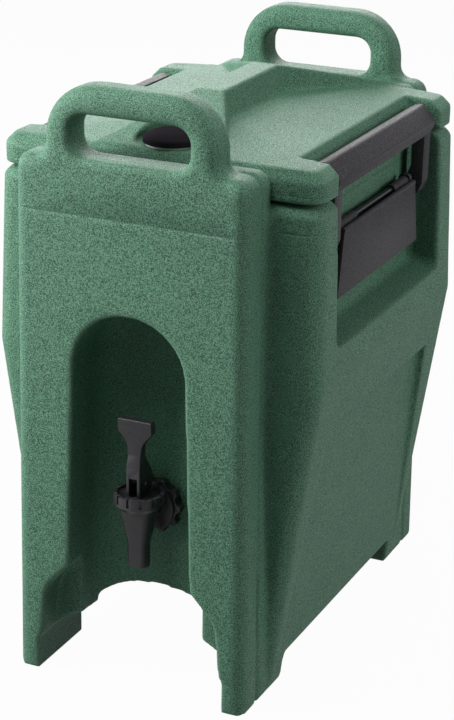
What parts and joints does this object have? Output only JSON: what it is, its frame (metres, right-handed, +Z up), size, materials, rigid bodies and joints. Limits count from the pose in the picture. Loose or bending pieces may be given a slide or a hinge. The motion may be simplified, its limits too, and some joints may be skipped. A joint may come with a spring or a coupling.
{
  "type": "insulated beverage carrier",
  "caption": "Double-walled insulated drink carrier with a latched lid, a carry handle at each end, a vent cap and a lever tap in a front alcove.",
  "frame": {"origin": "bottom centre, on the surface that the four feet stand on", "axes": "+Z up, -Y towards the tap, +X and -X towards the two latches"},
  "size_m": [0.3, 0.415, 0.525],
  "materials": {
    "shell_green": "matte",
    "foam": "matte",
    "latch_grey": "matte",
    "tap_black": "satin",
    "vent_black": "gloss",
    "steel": "satin",
    "rubber": "matte",
    "silicone": "satin"
  },
  "bodies": {
    "body": {"body_shell": "shell_green", "body_foam": "foam", "body_foam_plug": "shell_green", "latch_bracket_right": "latch_grey", "latch_screws_right": "steel", "latch_hinge_rod_right": "steel", "latch_bracket_left": "latch_grey", "latch_screws_left": "steel", "latch_hinge_rod_left": "steel", "tap_body": "tap_black", "tap_bonnet": "tap_black", "tap_spring": "steel", "tap_collar": "tap_black", "tap_outer_washer": "rubber", "tap_inner_washer": "rubber", "tap_lock_nut": "tap_black"},
    "lid": {"lid_shell": "shell_green", "lid_foam": "foam", "lid_foam_plug": "shell_green", "lid_gasket": "rubber"},
    "vent_cap": {"vent_cap": "vent_black", "vent_cap_seal": "rubber"},
    "latch_lever_right": {"latch_lever_right": "latch_grey", "latch_bail_pins_right": "steel"},
    "latch_bail_right": {"latch_bail_right": "latch_grey"},
    "latch_lever_left": {"latch_lever_left": "latch_grey", "latch_bail_pins_left": "steel"},
    "latch_bail_left": {"latch_bail_left": "latch_grey"},
    "tap_stem": {"tap_stem": "steel", "tap_seat_cup": "silicone"},
    "tap_lever": {"tap_lever": "tap_black", "tap_lever_pin": "steel"}
  },
  "joints": [
    {"name": "lid_lift", "type": "slide", "parent": "body", "child": "lid", "axis": [0, 0, 1], "range_m": [0, 0.15]},
    {"name": "latch_lever_right_hinge", "type": "hinge", "parent": "body", "child": "latch_lever_right", "pos_m": [0.128, 0, 0.401], "axis": [0, -1, 0], "range_deg": [0, 110]},
    {"name": "latch_bail_right_hinge", "type": "hinge", "parent": "latch_lever_right", "child": "latch_bail_right", "pos_m": [0.126, 0, 0.39], "axis": [0, 1, 0], "range_deg": [0, 145]},
    {"name": "latch_lever_left_hinge", "type": "hinge", "parent": "body", "child": "latch_lever_left", "pos_m": [-0.128, 0, 0.401], "axis": [0, 1, 0], "range_deg": [0, 110]},
    {"name": "latch_bail_left_hinge", "type": "hinge", "parent": "latch_lever_left", "child": "latch_bail_left", "pos_m": [-0.126, 0, 0.39], "axis": [0, -1, 0], "range_deg": [0, 145]},
    {"name": "vent_cap_turn", "type": "hinge", "parent": "lid", "child": "vent_cap", "pos_m": [0, -0.128, 0.466], "axis": [0, 0, 1], "range_deg": [0, 90]},
    {"name": "tap_stem_slide", "type": "slide", "parent": "body", "child": "tap_stem", "axis": [0, 0, 1], "range_m": [0, 0.0036], "deforming": ["tap_spring"]},
    {"name": "tap_lever_hinge", "type": "hinge", "parent": "tap_stem", "child": "tap_lever", "pos_m": [0, -0.186, 0.1873], "axis": [1, 0, 0], "range_deg": [0, 37], "stiffness_Nm_per_rad": 0.03, "springref_deg": -68.75}
  ],
  "couplings": [
    {"joint": "latch_lever_right_hinge", "follows": "lid_lift", "rad_per_m": 12.799},
    {"joint": "latch_bail_right_hinge", "follows": "lid_lift", "rad_per_m": 16.871},
    {"joint": "latch_lever_left_hinge", "follows": "lid_lift", "rad_per_m": 12.799},
    {"joint": "latch_bail_left_hinge", "follows": "lid_lift", "rad_per_m": 16.871},
    {"joint": "tap_stem_slide", "follows": "tap_lever_hinge", "m_per_rad": 0.0055}
  ]
}
